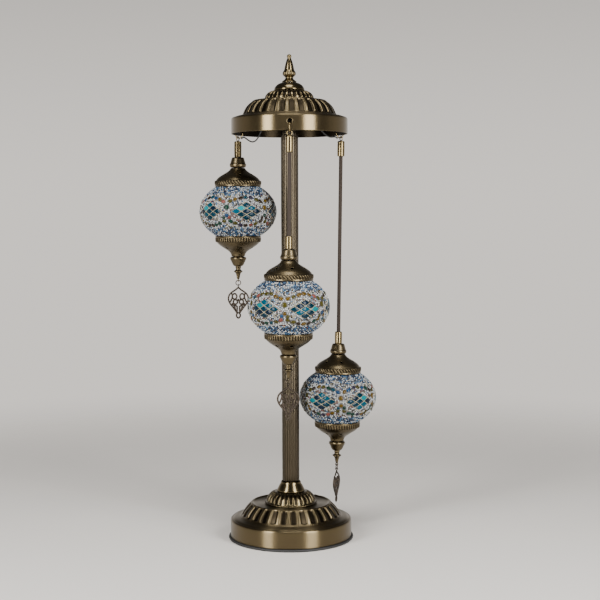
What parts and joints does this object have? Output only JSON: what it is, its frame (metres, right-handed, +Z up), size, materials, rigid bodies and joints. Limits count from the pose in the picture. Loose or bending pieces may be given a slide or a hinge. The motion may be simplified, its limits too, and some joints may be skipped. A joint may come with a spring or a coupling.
{
  "type": "mosaic glass table lamp",
  "caption": "Free-standing table lamp: round weighted base, reeded pole and domed canopy from which mosaic glass globe pendants hang at stepped heights.",
  "frame": {"origin": "middle of the felt pad's underside, where the lamp stands, on the pole's axis", "axes": "+Z up along the pole; -Y towards the viewer, with the middle pendant at the front and the long one on the right (+X)"},
  "size_m": [0.2728, 0.2516, 0.7382],
  "materials": {
    "antique_brass": "antique brass plating, dark in the hollows, brushed on the bands",
    "steel": "zinc-plated steel",
    "iron": "rough casting",
    "rubber": "matt black rubber",
    "felt": "black felt",
    "mosaic_glass": "cut glass pieces and seed beads set in white grout on clear glass",
    "bulb_glass": "frosted bulb",
    "black_plastic": "moulded lamp holder and terminal block",
    "textile": "braided dark brown textile sleeve",
    "wire_sheath": "black insulated feed wire",
    "charm_metal": "dark oxidised brass casting"
  },
  "bodies": {
    "stand": {"felt_pad": "felt", "edge_ring": "rubber", "base_plate": "steel", "base_weight": "iron", "rod_nut": "steel", "base_shell": "antique_brass", "inlet_grommet": "rubber", "base_rosette": "antique_brass", "base_collar": "antique_brass", "pole": "antique_brass", "stem_rod": "steel", "canopy_shell": "antique_brass", "canopy_rosette": "antique_brass", "canopy_dome": "antique_brass", "finial": "antique_brass", "terminal_block": "black_plastic", "feed_wire_left": "wire_sheath", "feed_wire_front": "wire_sheath", "feed_wire_right": "wire_sheath"},
    "link_left": {"hook_link_left": "antique_brass"},
    "pendant_left": {"eye_ferrule_left": "antique_brass", "bell_cup_left": "antique_brass", "top_cap_left": "antique_brass", "globe_left": "mosaic_glass", "lamp_holder_left": "black_plastic", "bulb_left": "bulb_glass", "bottom_cap_left": "antique_brass", "finial_cup_left": "antique_brass", "drop_finial_left": "antique_brass"},
    "drop_left": {"charm_ring_left": "charm_metal", "charm_left": "charm_metal"},
    "link_front": {"hook_link_front": "antique_brass"},
    "pendant_front": {"eye_ferrule_front": "antique_brass", "cord_front": "textile", "lower_ferrule_front": "antique_brass", "bell_cup_front": "antique_brass", "top_cap_front": "antique_brass", "globe_front": "mosaic_glass", "lamp_holder_front": "black_plastic", "bulb_front": "bulb_glass", "bottom_cap_front": "antique_brass", "finial_cup_front": "antique_brass", "drop_finial_front": "antique_brass"},
    "drop_front": {"charm_ring_front": "charm_metal", "charm_front": "charm_metal"},
    "link_right": {"hook_link_right": "antique_brass"},
    "pendant_right": {"eye_ferrule_right": "antique_brass", "cord_right": "textile", "lower_ferrule_right": "antique_brass", "bell_cup_right": "antique_brass", "top_cap_right": "antique_brass", "globe_right": "mosaic_glass", "lamp_holder_right": "black_plastic", "bulb_right": "bulb_glass", "bottom_cap_right": "antique_brass", "finial_cup_right": "antique_brass", "drop_finial_right": "antique_brass"},
    "drop_right": {"charm_ring_right": "charm_metal", "charm_right": "charm_metal"}
  },
  "joints": [
    {"name": "link_swing_left", "type": "hinge", "parent": "stand", "child": "link_left", "pos_m": [-0.07751, 0.04104, 0.6294], "axis": [0.4679, 0.8838, 0], "range_deg": [-5, 10]},
    {"name": "pendant_swing_left", "type": "hinge", "parent": "link_left", "child": "pendant_left", "pos_m": [-0.07998, 0.04235, 0.6154], "axis": [-0.8838, 0.4679, 0], "range_deg": [-10, 10]},
    {"name": "charm_swing_left", "type": "hinge", "parent": "pendant_left", "child": "drop_left", "pos_m": [-0.08075, 0.04235, 0.3948], "axis": [1, 0, -0.0035], "range_deg": [-35, 35]},
    {"name": "link_swing_front", "type": "hinge", "parent": "stand", "child": "link_front", "pos_m": [0, -0.0877, 0.6294], "axis": [-1, 0, 0], "range_deg": [-2.5, 10]},
    {"name": "pendant_swing_front", "type": "hinge", "parent": "link_front", "child": "pendant_front", "pos_m": [0, -0.0905, 0.6154], "axis": [0, -1, 0], "range_deg": [-10, 10]},
    {"name": "charm_swing_front", "type": "hinge", "parent": "pendant_front", "child": "drop_front", "pos_m": [-0.00314, -0.0905, 0.25581], "axis": [1, 0, -0.0087], "range_deg": [-35, 35]},
    {"name": "link_swing_right", "type": "hinge", "parent": "stand", "child": "link_right", "pos_m": [0.07751, 0.04104, 0.6294], "axis": [0.4679, -0.8838, 0], "range_deg": [-1, 10]},
    {"name": "pendant_swing_right", "type": "hinge", "parent": "link_right", "child": "pendant_right", "pos_m": [0.07998, 0.04235, 0.6154], "axis": [0.8838, 0.4679, 0], "range_deg": [-10, 10]},
    {"name": "charm_swing_right", "type": "hinge", "parent": "pendant_right", "child": "drop_right", "pos_m": [0.0724, 0.04235, 0.10436], "axis": [0.342, 0.9397, -0.0051], "range_deg": [-20, 20]}
  ]
}
